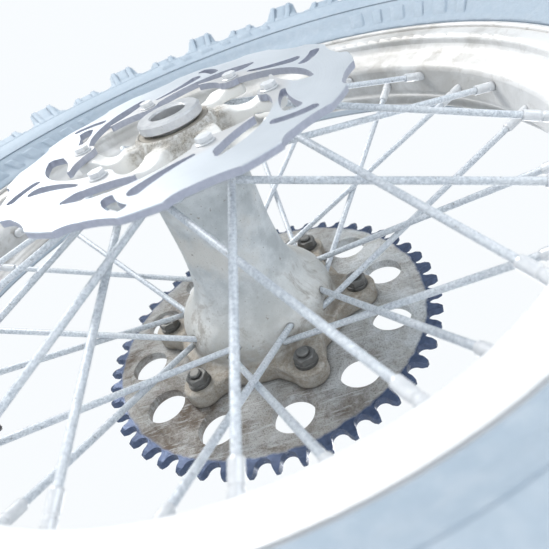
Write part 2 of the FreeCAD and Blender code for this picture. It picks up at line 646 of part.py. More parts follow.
def make_bearing(side, face, inwards):
    """One sealed ball bearing; face is its outer side and inwards the way to the wheel's centre."""
    half = size("bearing_width") * 0.5
    middle = face + half * inwards
    ball, pitch = size("ball_radius"), size("ball_pitch_radius")
    track = ball + 0.06
    bore, outside = size("axle_bore_radius"), size("bearing_radius") - FREE_GAP
    inner_land, outer_land = pitch - 2.3, pitch + 2.3
    track_half = math.sqrt(track.value ** 2 - 2.3 ** 2)
    edge = half - FREE_GAP / 2

    inner = new_body("bearing_inner_race_%s" % side)
    turned(inner, "ring", [
        (bore, middle - edge), (inner_land, middle - edge), (inner_land, middle - track_half),
        (inner_land, middle + track_half, track, -1), (inner_land, middle + edge), (bore, middle + edge),
    ])
    outer = new_body("bearing_outer_race_%s" % side)
    turned(outer, "ring", [
        (outer_land, middle - edge), (outside, middle - edge), (outside, middle + edge),
        (outer_land, middle + edge), (outer_land, middle + track_half),
        (outer_land, middle - track_half, track, -1),
    ])
    balls = new_body("bearing_balls_%s" % side)
    centre = frame((pitch.value, middle.value, 0), (1, 0, 0), WHEEL_AXIS)
    ball_piece = turned(balls, "ball", [
        (0, -ball), (ball, 0, ball, 1), (0, ball, ball, 1),
    ], centre)
    repeated(balls, [ball_piece], "balls_per_bearing")
    cage = new_body("bearing_cage_%s" % side)
    turned(cage, "ring", [
        (pitch - 1.0, middle - 4.1), (pitch + 1.0, middle - 4.1),
        (pitch + 1.0, middle + 4.1), (pitch - 1.0, middle + 4.1),
    ])
    pocket = turned(cage, "pocket", [
        (0, -ball - 0.1), (ball + 0.1, 0, ball + 0.1, 1), (0, ball + 0.1, ball + 0.1, 1),
    ], centre, "V_Axis", "Groove")
    repeated(cage, [pocket], "balls_per_bearing", "pockets")
    shields = new_body("bearing_shields_%s" % side)
    for name, way in (("inboard", 1), ("outboard", -1)):
        near, far = middle + 4.6 * way, middle + 5.4 * way
        turned(shields, name, [
            (inner_land + 0.1, near), (outer_land - 0.05, near), (outer_land - 0.05, far),
            (inner_land + 0.1, far),
        ])
    return [inner, outer, balls, cage, shields]


def make_spacer_tube():
    body = new_body("axle_spacer_tube")
    start = size("disc_bearing_face") + size("bearing_width") + FREE_GAP
    end = size("sprocket_bearing_face") - size("bearing_width") - FREE_GAP
    bore = size("axle_bore_radius")
    turned(body, "tube", [
        (bore, start), (bore + 2.9, start), (bore + 2.9, end), (bore, end),
    ])
    return body


def make_seal(side, start, outwards):
    """A rubber lip seal in the hub's mouth; start is its inner side."""
    body = new_body("oil_seal_%s" % side)
    end = start + size("seal_width") * outwards
    outside, shaft = size("bearing_radius") - FREE_GAP, size("collar_shank_radius")
    turned(body, "ring", [
        (shaft + 0.08, end - 2.2 * outwards), (shaft + 0.08, end - 1.2 * outwards),
        (shaft + 1.2, end - 0.5 * outwards), (shaft + 2.2, end), (outside, end), (outside, start),
        (outside - 1.8, start),
        (outside - 1.8, end - 2.6 * outwards), (shaft + 1.4, end - 2.4 * outwards),
    ])
    return body


def make_collar(side, bearing_face, hub_end, face, outwards):
    """A flanged collar: its shank runs in the seal and its flange covers the hub's mouth."""
    body = new_body("collar_%s" % side)
    bore, shank = size("axle_bore_radius"), size("collar_shank_radius")
    flange = size("collar_flange_radius")
    root = bearing_face + FREE_GAP * outwards
    under = hub_end + 1.2 * outwards
    turned(body, "collar", [
        (bore, root), (shank - 0.6, root), (shank, root + 0.6 * outwards), (shank, under),
        (flange - 0.8, under), (flange, under + 0.8 * outwards), (flange, face - 1.2 * outwards),
        (flange - 1.2, face), (bore + 1.0, face), (bore, face - 1.0 * outwards),
    ])
    return body


def make_circlip():
    """The spring ring that holds the sprocket-side bearing, with its gap and two eyes."""
    body = new_body("bearing_circlip")
    start = size("sprocket_bearing_face") + 0.35
    outside = size("bearing_radius") + 1.1
    turned(body, "ring", [
        (outside - 3.0, start), (outside, start), (outside, start + 1.4), (outside - 3.0, start + 1.4),
    ])
    gap = cut_through(body, "gap", lambda sketch: add_outline(sketch, [
        (-3.5, 15.0), (3.5, 15.0), (3.5, 26.0), (-3.5, 26.0),
    ]))
    body.Tip = gap
    return body


# ---------------------------------------------------------------- brake disc

def swept_slot(sketch, start, end, start_half, end_half, bow):
    """A bowed slot between two (radius, degrees) points, with a round end at each."""
    first, last = on_circle(*start), on_circle(*end)
    way = FreeCAD.Vector(last.x - first.x, last.z - first.z, 0).normalize()
    left = FreeCAD.Vector(-way.y, way.x, 0)
    add_outline(sketch, [
        (first.x + left.x * start_half, first.z + left.y * start_half, bow, -1),
        (first.x - left.x * start_half, first.z - left.y * start_half, start_half * 1.03, 1),
        (last.x - left.x * end_half, last.z - left.y * end_half, bow, 1),
        (last.x + left.x * end_half, last.z + left.y * end_half, end_half * 1.03, 1),
    ])


def swirl_outline(lug):
    """The opening from one lug to the next: round the tongue's tip, out to a point, then back in."""
    return [
        (50.0, lug + 3.8), (54.0, lug + 3.8), (65.2, lug + 24.2, 29.0, 1), (67.4, lug + 25.2, 1.4, -1),
        (74.4, lug + 1.4, 68.0, 1), (78.4, lug - 1.8, 6.7, 1), (83.6, lug - 2.4),
        (86.8, lug + 0.4, 2.7, 1), (54.0, lug + 63.5, 58.0, 1), (50.0, lug + 63.5),
    ]


def make_brake_disc():
    """A waved rotor with swept openings, held by six lugs."""
    body = new_body("brake_disc")
    inner_face = size("disc_seat")
    outer_face = inner_face - size("disc_thickness")
    radius, bore = size("disc_radius"), size("disc_bore_radius")
    turned(body, "plate", [
        (bore, outer_face), (radius - 0.4, outer_face), (radius, outer_face + 0.4),
        (radius, inner_face - 0.4), (radius - 0.4, inner_face), (bore, inner_face),
    ])
    lug, circle = amount("disc_bolt_angle"), size("disc_bolt_circle")
    # one notch between every two waves of the rim, steep on one side and shallow on the other
    notch = cut_through(body, "wave", lambda sketch: polar_points(sketch, [
        (radius + 3.0, 2.0), (radius - 4.8, 9.0, 14.0, -1), (radius + 0.3, 22.0, 60.0, -1),
        (radius + 3.0, 23.0),
    ]))
    repeated(body, [notch], "wave_count", "waves")
    openings = [
        cut_through(body, "swirl", lambda sketch: polar_points(sketch, swirl_outline(lug))),
        cut_through(body, "rim_slot", lambda sketch: swept_slot(
            sketch, (87.0, lug - 39.4), (101.2, lug - 31.2), 3.4, 3.4, 34.0)),
        cut_through(body, "teardrop", lambda sketch: swept_slot(
            sketch, (70.5, lug - 8.2), (87.2, lug - 29.4), 1.5, 5.2, 80.0)),
    ]
    repeated(body, openings, "bolts_per_circle", "openings")
    boss = padded(body, "lug", lambda sketch: add_circle(sketch, *flat_point(circle, lug), 7.6),
                  outer_face, inner_face)
    repeated(body, [boss], "bolts_per_circle", "lugs")
    hole = cut_through(body, "bolt_hole", lambda sketch: add_circle(
        sketch, *flat_point(circle, lug), size("disc_bolt_radius") + SLIP_GAP))
    repeated(body, [hole], "bolts_per_circle", "bolt_holes")
    return body


def bolt_frame(circle, degrees):
    """Local x runs away from the bolt's own line and local y along the axle."""
    point = on_circle(circle.value, degrees)
    return frame((point.x, 0, point.z), (1, 0, 0), WHEEL_AXIS)


def make_disc_bolts():
    """Low hexagon-headed bolts, each with a thin flange under its head."""
    body = new_body("disc_bolts")
    place = bolt_frame(size("disc_bolt_circle"), amount("disc_bolt_angle"))
    top = size("disc_seat") - size("disc_thickness") - FREE_GAP
    shank = size("disc_bolt_radius")
    bolt = turned(body, "bolt", [
        (0, top + 9.0), (shank - 0.5, top + 9.0), (shank, top + 8.4), (shank, top),
        (5.4, top), (5.4, top - 0.6), (4.8, top - 1.0), (0, top - 1.0),
    ], place)
    point = on_circle(amount("disc_bolt_circle"), amount("disc_bolt_angle"))
    head = padded(body, "head", lambda sketch: add_hexagon(sketch, point, 4.6), top - 0.5, top - 3.6)
    repeated(body, [bolt, head], "bolts_per_circle")
    return body


# ---------------------------------------------------------------- sprocket

def make_sprocket():
    body = new_body("sprocket")
    inner = size("sprocket_seat") + FREE_GAP
    outer = inner + size("sprocket_thickness")
    margin = (size("sprocket_thickness") - size("tooth_thickness")) * 0.5
    pitch_radius = pitch_circle_radius()
    root = pitch_radius - size("roller_radius")
    tip = pitch_radius + 4.6
    bore = size("sprocket_bore_radius")
    turned(body, "plate", [
        (bore, inner), (root - 9.0, inner), (root - 7.6, inner + margin), (tip - 3.0, inner + margin),
        (tip, inner + margin + 0.9), (tip, outer - margin - 0.9), (tip - 3.0, outer - margin),
        (root - 7.6, outer - margin), (root - 9.0, outer), (bore, outer),
    ])
    gap_angle = amount("tooth_angle") - 180.0 / amount("tooth_count")
    gap = cut_through(body, "tooth_gap", lambda sketch: tooth_gap(sketch, gap_angle, tip))
    repeated(body, [gap], "tooth_count", "teeth")
    light = cut_through(body, "lightening_hole", lambda sketch: add_circle(
        sketch, *flat_point(size("lightening_circle"), amount("lightening_angle")),
        size("lightening_radius")))
    repeated(body, [light], "lightening_count", "lightening_holes")
    circle, angle = size("sprocket_bolt_circle"), amount("sprocket_bolt_angle")
    shank = size("sprocket_bolt_radius") + SLIP_GAP
    sink = turned(body, "countersink", [
        (0, inner - 1.0), (shank, inner - 1.0), (shank, outer - 4.2), (shank + 4.4, outer + 0.2),
        (0, outer + 0.2),
    ], bolt_frame(circle, angle), "V_Axis", "Groove")
    repeated(body, [sink], "bolts_per_circle", "countersinks")
    return body


def pitch_circle_radius():
    """Chain pitch over twice the sine of half a tooth's angle, tied to the sheet."""
    half_turn = 180.0 / amount("tooth_count")
    value = amount("chain_pitch") / (2 * math.sin(math.radians(half_turn)))
    return Size(value, "(Sizes.chain_pitch / (2 * sin(180 / Sizes.tooth_count)))")


def tooth_gap(sketch, degrees, tip):
    """One gap: a round seat for the chain's roller, opening outwards to the tips."""
    seat = size("roller_radius") + 0.1
    pitch = pitch_circle_radius()
    lean = math.degrees(math.atan2(seat.value, pitch.value))
    shoulder = pitch * (1.0 / math.cos(math.radians(lean)))
    open_half = 180.0 / amount("tooth_count") - 0.55
    polar_points(sketch, [
        (pitch - seat, degrees, seat, -1), (shoulder, degrees + lean, seat, -1),
        (tip, degrees + open_half, 17.0, 1), (tip + 3.0, degrees + open_half),
        (tip + 3.0, degrees - open_half), (tip, degrees - open_half),
        (shoulder, degrees - lean, 17.0, 1),
    ])


def make_sprocket_bolts():
    """Countersunk bolts put in from the chain side, long enough to stand through their nuts."""
    body = new_body("sprocket_bolts")
    place = bolt_frame(size("sprocket_bolt_circle"), amount("sprocket_bolt_angle"))
    outer = size("sprocket_seat") + size("sprocket_thickness") + FREE_GAP
    shank = size("sprocket_bolt_radius")
    end = size("sprocket_seat") - size("ear_thickness") - 10.0
    bolt = turned(body, "bolt", [
        (0, end), (shank - 0.8, end), (shank, end + 0.8), (shank, outer - 4.2),
        (shank + 4.2, outer), (0, outer),
    ], place)
    point = on_circle(amount("sprocket_bolt_circle"), amount("sprocket_bolt_angle"))
    socket = padded(body, "socket", lambda sketch: add_hexagon(sketch, point, 3.2),
                    outer - 3.4, outer + 3.0, kind="Pocket")
    repeated(body, [bolt, socket], "bolts_per_circle")
    return body


def make_washers_and_nuts():
    circle, angle = size("sprocket_bolt_circle"), amount("sprocket_bolt_angle")
    seat = size("sprocket_seat") - size("ear_thickness") - FREE_GAP
    bore = size("sprocket_bolt_radius") + SLIP_GAP
    washers = new_body("sprocket_washers")
    washer = turned(washers, "washer", [
        (bore, seat), (8.0, seat), (8.0, seat - 1.2), (bore, seat - 1.2),
    ], bolt_frame(circle, angle))
    repeated(washers, [washer], "bolts_per_circle")
    nuts = new_body("sprocket_nuts")
    foot = seat - 1.2 - FREE_GAP
    point = on_circle(circle.value, angle)
    corner = 6.5 / math.cos(math.radians(30))

    def drawing(sketch):
        add_hexagon(sketch, point, corner, 12.0)
        add_circle(sketch, point.x, point.z, bore)

    nut = padded(nuts, "hexagon", drawing, foot, foot - 6.2)
    flange = turned(nuts, "flange", [
        (bore, foot), (7.6, foot), (7.6, foot - 1.0), (6.0, foot - 1.6), (bore, foot - 1.6),
    ], bolt_frame(circle, angle))
    corners = turned(nuts, "corners", [
        (5.9, foot - 6.4), (9.0, foot - 6.4), (9.0, foot - 4.6),
    ], bolt_frame(circle, angle), "V_Axis", "Groove")
    repeated(nuts, [nut, flange, corners], "bolts_per_circle")
    return [washers, nuts]


# ---------------------------------------------------------------- valve and rim lock

def turned_on_radius(name, angle, steps):
    """A round piece whose own line lies along the radius at that angle."""
    body = new_body(name)
    turned(body, "piece", steps, radial_frame(amount(angle)), "H_Axis")
    return body


def make_valve():
    stem, end = size("valve_radius"), size("valve_end_radius")
    base = size("tube_ring_radius") - size("tube_section_radius") - 0.6
    bed = size("well_radius") - size("rim_wall")
    pieces = [turned_on_radius("valve_stem", "valve_angle", [
        (end, 2.3), (end, stem - 0.5), (end + 0.5, stem), (base - 3.0, stem), (base - 2.0, 9.0),
        (base, 9.0), (base, 2.3),
    ])]
    pieces.append(turned_on_radius("valve_core_sleeve", "valve_angle", [
        (end + 3.0, 0.86), (end + 3.0, 2.25), (end + 20.0, 2.25), (end + 20.0, 0.86),
    ]))
    pieces.append(turned_on_radius("valve_core_pin", "valve_angle", [
        (end + 0.6, 0), (end + 0.6, 0.8), (end + 20.1, 0.8), (end + 20.1, 1.8), (end + 22.1, 1.8),
        (end + 22.1, 0),
    ]))
    pieces.append(turned_on_radius("valve_nut", "valve_angle", [
        (bed - 5.2, stem + 0.1), (bed - 5.2, 6.4), (bed - 4.6, 7.0), (bed - 0.8, 7.0),
        (bed - 0.2, 6.4), (bed - 0.2, stem + 0.1),
    ]))
    pieces.append(turned_on_radius("valve_cap", "valve_angle", [
        (end - 3.0, 0), (end - 3.0, 3.6), (end - 2.2, 4.6), (end + 9.0, 5.2), (end + 9.0, stem + 0.1),
        (end - 0.8, stem + 0.1), (end - 0.8, 0),
    ]))
    return pieces


def make_rim_lock():
    """A shoe that clamps the tyre's beads, with its stud through the well, washer and nut."""
    stud = size("rim_lock_stud_radius")
    bed = size("well_radius") - size("rim_wall")
    top = size("well_radius") + 14.0
    shoe = new_body("rim_lock_shoe")
    turned(shoe, "saddle", [
        (top - 3.5, -12.0), (top + 2.0, -17.0), (top + 5.0, -15.0), (top + 5.0, 15.0),
        (top + 2.0, 17.0), (top - 3.5, 12.0),
    ], radial_frame(amount("rim_lock_angle")), angle=size("rim_lock_sweep").value)
    pieces = [shoe]
    pieces.append(turned_on_radius("rim_lock_stud", "rim_lock_angle", [
        (bed - 30.0, 0), (bed - 30.0, stud - 0.6), (bed - 29.4, stud), (top - 3.6, stud), (top - 3.6, 0),
    ]))
    pieces.append(turned_on_radius("rim_lock_washer", "rim_lock_angle", [
        (bed - 2.0, stud + 0.2), (bed - 2.0, 8.5), (bed - 0.3, 8.5), (bed - 0.3, stud + 0.2),
    ]))
    pieces.append(turned_on_radius("rim_lock_nut", "rim_lock_angle", [
        (bed - 9.0, stud + 0.1), (bed - 9.0, 5.6), (bed - 8.2, 6.4), (bed - 2.9, 6.4),
        (bed - 2.1, 5.8), (bed - 2.1, stud + 0.1),
    ]))
    return pieces


# ---------------------------------------------------------------- assembly and export

def make_everything():
    pieces = [make_tyre(), make_inner_tube(), make_rim(), make_rim_tape(), make_hub()]
    for lacing in SPOKE_SETS:
        pieces.append(make_bent_spokes(lacing) if lacing["elbow"] else make_straight_spokes(lacing))
        pieces.append(make_nipples(lacing))
    pieces += make_bearing("disc_side", size("disc_bearing_face"), 1)
    pieces += make_bearing("sprocket_side", size("sprocket_bearing_face"), -1)
    pieces.append(make_spacer_tube())
    pieces.append(make_circlip())
    pieces.append(make_seal("disc_side", size("disc_bearing_face") - 3.5, -1))
    pieces.append(make_seal("sprocket_side", size("sprocket_bearing_face") + 2.2, 1))
    pieces.append(make_collar("disc_side", size("disc_bearing_face"), size("disc_boss_end"),
                              size("disc_collar_face"), -1))
    pieces.append(make_collar("sprocket_side", size("sprocket_bearing_face"), size("sprocket_boss_end"),
                              size("sprocket_collar_face"), 1))
    pieces += [make_brake_disc(), make_disc_bolts(), make_sprocket(), make_sprocket_bolts()]
    pieces += make_washers_and_nuts()
    pieces += make_valve()
    pieces += make_rim_lock()
    return pieces


def check(pieces):
    """Stop if any object failed, or any piece has no valid shape."""
    for item in DOCUMENT.Objects:
        if "Invalid" in item.State or "Error" in item.State:
            raise RuntimeError("%s failed: %s" % (item.Name, item.State))
    for piece in pieces:
        if piece.Shape.isNull() or not piece.Shape.isValid() or not piece.Shape.Solids:
            raise RuntimeError("%s has no valid solid" % piece.Label)


PIECES = make_everything()
DOCUMENT.recompute()
check(PIECES)
os.makedirs("parts", exist_ok=True)
for piece in PIECES:
    piece.Shape.exportStep("parts/%s.step" % piece.Label)
    print("%-34s solids %3d  volume %10.1f" % (piece.Label, len(piece.Shape.Solids), piece.Shape.Volume))
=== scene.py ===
import json
import math

import bmesh
import bpy
from mathutils import Matrix, Vector


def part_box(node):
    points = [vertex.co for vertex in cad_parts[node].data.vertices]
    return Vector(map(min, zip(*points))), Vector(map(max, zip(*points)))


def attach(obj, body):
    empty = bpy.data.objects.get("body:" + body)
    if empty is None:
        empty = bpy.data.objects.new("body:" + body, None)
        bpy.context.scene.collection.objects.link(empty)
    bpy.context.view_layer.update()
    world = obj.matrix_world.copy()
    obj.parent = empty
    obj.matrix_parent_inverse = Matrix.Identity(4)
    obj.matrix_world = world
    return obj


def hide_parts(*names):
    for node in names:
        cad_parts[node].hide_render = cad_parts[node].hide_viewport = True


# Looks for an off-road motorcycle rear wheel. Everything is in metres, the wheel turns about +Y, the
# brake disc is on the -Y side and the sprocket on the +Y side.

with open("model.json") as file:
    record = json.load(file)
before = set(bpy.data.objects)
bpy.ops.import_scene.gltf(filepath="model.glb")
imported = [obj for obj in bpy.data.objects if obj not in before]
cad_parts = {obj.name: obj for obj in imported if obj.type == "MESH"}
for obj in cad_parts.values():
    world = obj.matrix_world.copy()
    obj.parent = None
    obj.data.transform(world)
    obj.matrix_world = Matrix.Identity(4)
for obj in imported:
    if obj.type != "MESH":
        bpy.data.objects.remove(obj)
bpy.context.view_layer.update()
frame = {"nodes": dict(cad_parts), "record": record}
NODES = frame["nodes"]

MM = 0.001
TYRE_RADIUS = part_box("tyre")[1].z                        # outermost point of the tread
TYRE_HALF_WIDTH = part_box("tyre")[1].y
LIP_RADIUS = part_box("rim")[1].z                          # top of the rim's edge
SPROCKET_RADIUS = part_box("sprocket")[1].z
FLOOR_LEVEL = -TYRE_RADIUS


# ---------------------------------------------------------------- shader building blocks

class Shader:
    """A node material under construction, with short names for the node chains used below."""

    def __init__(self, name):
        self.material = bpy.data.materials.new(name)
        self.material.use_nodes = True
        self.tree = self.material.node_tree
        self.surface = self.tree.nodes["Principled BSDF"]
        self.coordinates = self.tree.nodes.new("ShaderNodeTexCoord").outputs["Object"]

    def node(self, kind, **settings):
        made = self.tree.nodes.new(kind)
        for word, value in settings.items():
            setattr(made, word, value)
        return made

    def link(self, source, target):
        if isinstance(source, (int, float)):
            target.default_value = source
        elif isinstance(source, (tuple, list)):
            target.default_value = (*source, 1.0) if len(source) == 3 else source
        else:
            self.tree.links.new(source, target)

    def set(self, word, source):
        self.link(source, self.surface.inputs[word])

    def noise(self, scale, detail=4.0, roughness=0.6, distortion=0.0, stretch=None):
        made = self.node("ShaderNodeTexNoise")
        made.inputs["Scale"].default_value = scale
        made.inputs["Detail"].default_value = detail
        made.inputs["Roughness"].default_value = roughness
        made.inputs["Distortion"].default_value = distortion
        self.link(self.stretched(stretch), made.inputs["Vector"])
        return made.outputs["Fac"]

    def stretched(self, factors):
        if factors is None:
            return self.coordinates
        made = self.node("ShaderNodeMapping")
        made.inputs["Scale"].default_value = factors
        self.link(self.coordinates, made.inputs["Vector"])
        return made.outputs["Vector"]

    def maths(self, operation, first, second=0.0):
        made = self.node("ShaderNodeMath", operation=operation)
        self.link(first, made.inputs[0])
        self.link(second, made.inputs[1])
        return made.outputs[0]

    def between(self, value, low, high):
        """0 below low, 1 above high, smooth on the way; low may be the larger one."""
        made = self.node("ShaderNodeMapRange", interpolation_type="SMOOTHSTEP")
        flip = low > high
        self.link(value, made.inputs["Value"])
        made.inputs["From Min"].default_value = high if flip else low
        made.inputs["From Max"].default_value = low if flip else high
        made.inputs["To Min"].default_value = 1.0 if flip else 0.0
        made.inputs["To Max"].default_value = 0.0 if flip else 1.0
        return made.outputs["Result"]

    def mix(self, factor, first, second):
        made = self.node("ShaderNodeMix", data_type="RGBA")
        self.link(factor, made.inputs["Factor"])
        self.link(first, made.inputs[6])
        self.link(second, made.inputs[7])
        return made.outputs[2]

    def blend(self, factor, first, second):
        made = self.node("ShaderNodeMix", data_type="FLOAT")
        self.link(factor, made.inputs["Factor"])
        self.link(first, made.inputs[2])
        self.link(second, made.inputs[3])
        return made.outputs[0]

    def part_of(self, vector, axis):
        """The X, Y or Z of a vector."""
        split = self.node("ShaderNodeSeparateXYZ")
        self.link(vector, split.inputs[0])
        return split.outputs[axis]

    def across(self):
        return self.part_of(self.coordinates, "X")

    def axle_place(self):
        return self.part_of(self.coordinates, "Y")

    def height(self):
        return self.part_of(self.coordinates, "Z")

    def axle_radius(self):
        """Distance from the axle line."""
        across = self.across()
        height = self.height()
        squares = self.maths("ADD", self.maths("MULTIPLY", across, across),
                             self.maths("MULTIPLY", height, height))
        return self.maths("SQRT", squares)

    def facing_axle(self):
        """1 on faces square to the axle, 0 on walls that run along it."""
        normal = self.node("ShaderNodeTexCoord").outputs["Normal"]
        return self.maths("ABSOLUTE", self.part_of(normal, "Y"))

    def crevice_shade(self, distance):
        """Mask for painted shade, from ambient occlusion: 1 deep in a crevice, 0 in the open."""
        made = self.node("ShaderNodeAmbientOcclusion", samples=6)
        made.inputs["Distance"].default_value = distance
        return self.between(made.outputs["AO"], 0.95, 0.35)

    def bump(self, height, depth, chained=None):
        made = self.node("ShaderNodeBump")
        made.inputs["Strength"].default_value = 1.0
        made.inputs["Distance"].default_value = depth
        self.link(height, made.inputs["Height"])
        if chained is not None:
            self.link(chained, made.inputs["Normal"])
        self.set("Normal", made.outputs["Normal"])
        return made.outputs["Normal"]


# ---------------------------------------------------------------- materials

def tyre_rubber():
    """Faded blue-grey rubber, evenly dusty, with fine pores and painted shade in the corners."""
    made = Shader("tyre_rubber")
    clouds = made.noise(9.0, 3.0, 0.5)
    fine = made.noise(420.0, 6.0, 0.7)
    dust = made.between(made.noise(130.0, 8.0, 0.7), 0.40, 0.75)
    rubber = made.mix(clouds, (0.33, 0.41, 0.49), (0.46, 0.54, 0.62))
    rubber = made.mix(made.maths("MULTIPLY", fine, 0.35), rubber, (0.18, 0.23, 0.29))
    colour = made.mix(made.maths("MULTIPLY", dust, 0.30), rubber, (0.60, 0.64, 0.68))
    # painted shade: darker blue-grey in the crevices, from ambient occlusion
    colour = made.mix(made.maths("MULTIPLY", made.crevice_shade(7 * MM), 0.75), colour, (0.11, 0.14, 0.19))
    made.set("Base Color", colour)
    made.set("Roughness", made.blend(dust, 0.55, 0.85))
    made.set("Specular IOR Level", 0.4)
    pores = made.bump(made.noise(900.0, 3.0, 0.6), 0.25 * MM)
    made.bump(made.noise(140.0, 5.0, 0.6), 0.4 * MM, pores)
    return made.material


def rim_aluminium():
    """Bare aluminium gone chalky, with tide marks of dried mud and painted shade in the corners."""
    made = Shader("rim_aluminium")
    clouds = made.noise(30.0, 6.0, 0.6)
    stains = made.between(made.noise(75.0, 9.0, 0.75, 0.6), 0.52, 0.70)
    metal = made.mix(clouds, (0.86, 0.865, 0.87), (0.95, 0.95, 0.95))
    # the upper half of the rim is darker and greyer than the lower one, with more stains and freckles
    upper = made.between(made.height(), -80 * MM, 120 * MM)
    film = made.blend(made.between(made.noise(24.0, 7.0, 0.65, 0.4), 0.36, 0.62), 0.45, 0.95)
    colour = made.mix(made.maths("MULTIPLY", upper, film), metal, (0.47, 0.46, 0.44))
    mud = made.maths("MULTIPLY", stains, made.blend(upper, 0.12, 0.7))
    colour = made.mix(mud, colour, (0.36, 0.33, 0.29))
    freckles = made.between(made.noise(520.0, 6.0, 0.8), 0.60, 0.72)
    speckle = made.maths("MULTIPLY", freckles, made.blend(upper, 0.15, 0.6))
    colour = made.mix(speckle, colour, (0.42, 0.40, 0.37))
    # painted shade in the corners, from ambient occlusion
    colour = made.mix(made.maths("MULTIPLY", made.crevice_shade(8 * MM), 0.35), colour, (0.36, 0.33, 0.30))
    made.set("Base Color", colour)
    made.set("Metallic", made.blend(stains, 0.2, 0.05))
    made.set("Roughness", made.blend(clouds, 0.38, 0.62))
    scuffs = made.bump(made.noise(420.0, 4.0, 0.6, 0.2), 0.12 * MM)
    made.bump(made.noise(55.0, 4.0, 0.5), 0.3 * MM, scuffs)
    return made.material


def spoke_steel():
    """Zinc-plated wire, dulled and mottled with white and grey oxide."""
    made = Shader("spoke_steel")
    mottle = made.noise(620.0, 7.0, 0.75)
    patches = made.between(made.noise(45.0, 4.0, 0.6), 0.40, 0.66)
    wire = made.mix(made.between(mottle, 0.30, 0.70), (0.45, 0.49, 0.54), (0.85, 0.89, 0.93))
    colour = made.mix(made.maths("MULTIPLY", patches, 0.3), wire, (0.80, 0.81, 0.82))
    spots = made.between(made.noise(520.0, 2.0, 0.5), 0.66, 0.74)
    colour = made.mix(made.maths("MULTIPLY", spots, 0.5), colour, (0.16, 0.15, 0.14))
    made.set("Base Color", colour)
    made.set("Metallic", 0.35)
    made.set("Roughness", made.blend(mottle, 0.42, 0.68))
    made.bump(made.noise(1500.0, 3.0, 0.6), 0.08 * MM)
    return made.material


def nipple_plating():
    """Pale nickel plating with a chalky bloom, and painted shade in the grooves."""
    made = Shader("nipple_plating")
    wear = made.noise(320.0, 6.0, 0.6)
    metal = made.mix(wear, (0.60, 0.62, 0.65), (0.94, 0.945, 0.95))
    # painted shade in the grooves, from ambient occlusion
    colour = made.mix(made.maths("MULTIPLY", made.crevice_shade(2.5 * MM), 0.6), metal, (0.22, 0.23, 0.25))
    made.set("Base Color", colour)
    made.set("Metallic", 0.35)
    made.set("Roughness", made.blend(wear, 0.24, 0.5))
    made.bump(made.noise(1200.0, 3.0, 0.6), 0.05 * MM)
    return made.material


def hub_casting():
    """Sand-grained cast aluminium: dusty and speckled, browner by the bearing boss and flange roots."""
    made = Shader("hub_casting")
    clouds = made.noise(38.0, 6.0, 0.6)
    metal = made.mix(made.between(clouds, 0.34, 0.66), (0.50, 0.53, 0.54), (0.78, 0.805, 0.815))
    tan = made.between(made.noise(17.0, 5.0, 0.6), 0.50, 0.66)
    metal = made.mix(made.maths("MULTIPLY", tan, 0.55), metal, (0.60, 0.56, 0.49))
    specks = made.between(made.noise(1000.0, 5.0, 0.8), 0.57, 0.68)
    colour = made.mix(made.maths("MULTIPLY", specks, 0.55), metal, (0.24, 0.215, 0.18))
    pits = made.between(made.noise(310.0, 3.0, 0.6), 0.66, 0.72)
    colour = made.mix(made.maths("MULTIPLY", pits, 0.7), colour, (0.16, 0.13, 0.10))
    pale = made.between(made.noise(620.0, 5.0, 0.8), 0.60, 0.70)
    colour = made.mix(made.maths("MULTIPLY", pale, 0.5), colour, (0.86, 0.87, 0.88))
    # mud baked on round the disc-side boss, and a little at the sprocket flange
    boss = made.between(made.axle_radius(), 37 * MM, 28 * MM)
    near_disc = made.between(made.axle_place(), -47 * MM, -55 * MM)
    colour = made.mix(made.maths("MULTIPLY", near_disc, 0.8), colour, (0.90, 0.885, 0.85))
    mud_noise = made.between(made.noise(160.0, 9.0, 0.75), 0.36, 0.62)
    mud = made.maths("MULTIPLY", made.maths("MULTIPLY", boss, near_disc), mud_noise)
    sand = made.between(made.noise(900.0, 6.0, 0.8), 0.42, 0.58)
    grit = made.mix(sand, (0.25, 0.21, 0.16), (0.62, 0.58, 0.51))
    colour = made.mix(made.maths("MULTIPLY", mud, 0.9), colour, grit)
    flange = made.maths("MULTIPLY", made.between(made.axle_place(), 48 * MM, 84 * MM), mud_noise)
    colour = made.mix(made.maths("MULTIPLY", flange, 0.6), colour, (0.38, 0.33, 0.26))
    ears = made.maths("MULTIPLY", made.between(made.axle_radius(), 56 * MM, 62 * MM),
                      made.between(made.axle_place(), 60 * MM, 74 * MM))
    ears = made.maths("MULTIPLY", ears, made.blend(mud_noise, 0.6, 0.95))
    colour = made.mix(ears, colour, made.mix(sand, (0.13, 0.105, 0.08), (0.36, 0.31, 0.25)))
    dome = made.between(made.axle_place(), 20 * MM, 66 * MM)
    colour = made.mix(made.maths("MULTIPLY", dome, 0.3), colour, (0.60, 0.55, 0.47))
    stains = made.between(made.noise(34.0, 9.0, 0.76, 0.6), 0.50, 0.61)
    stains = made.maths("MULTIPLY", stains, dome)
    colour = made.mix(made.maths("MULTIPLY", stains, 0.6), colour, (0.22, 0.18, 0.14))
    shade = made.maths("MULTIPLY", made.crevice_shade(9 * MM), made.blend(near_disc, 0.6, 0.25))
    colour = made.mix(shade, colour, (0.22, 0.19, 0.155))
    made.set("Base Color", colour)
    made.set("Metallic", made.blend(mud, 0.15, 0.0))
    made.set("Roughness", made.blend(clouds, 0.5, 0.7))
    grain = made.bump(made.noise(1100.0, 4.0, 0.65), 0.16 * MM)
    crust = made.bump(made.maths("MULTIPLY", mud, made.noise(480.0, 6.0, 0.7)), 1.1 * MM, grain)
    made.bump(made.noise(90.0, 4.0, 0.5), 0.35 * MM, crust)
    return made.material


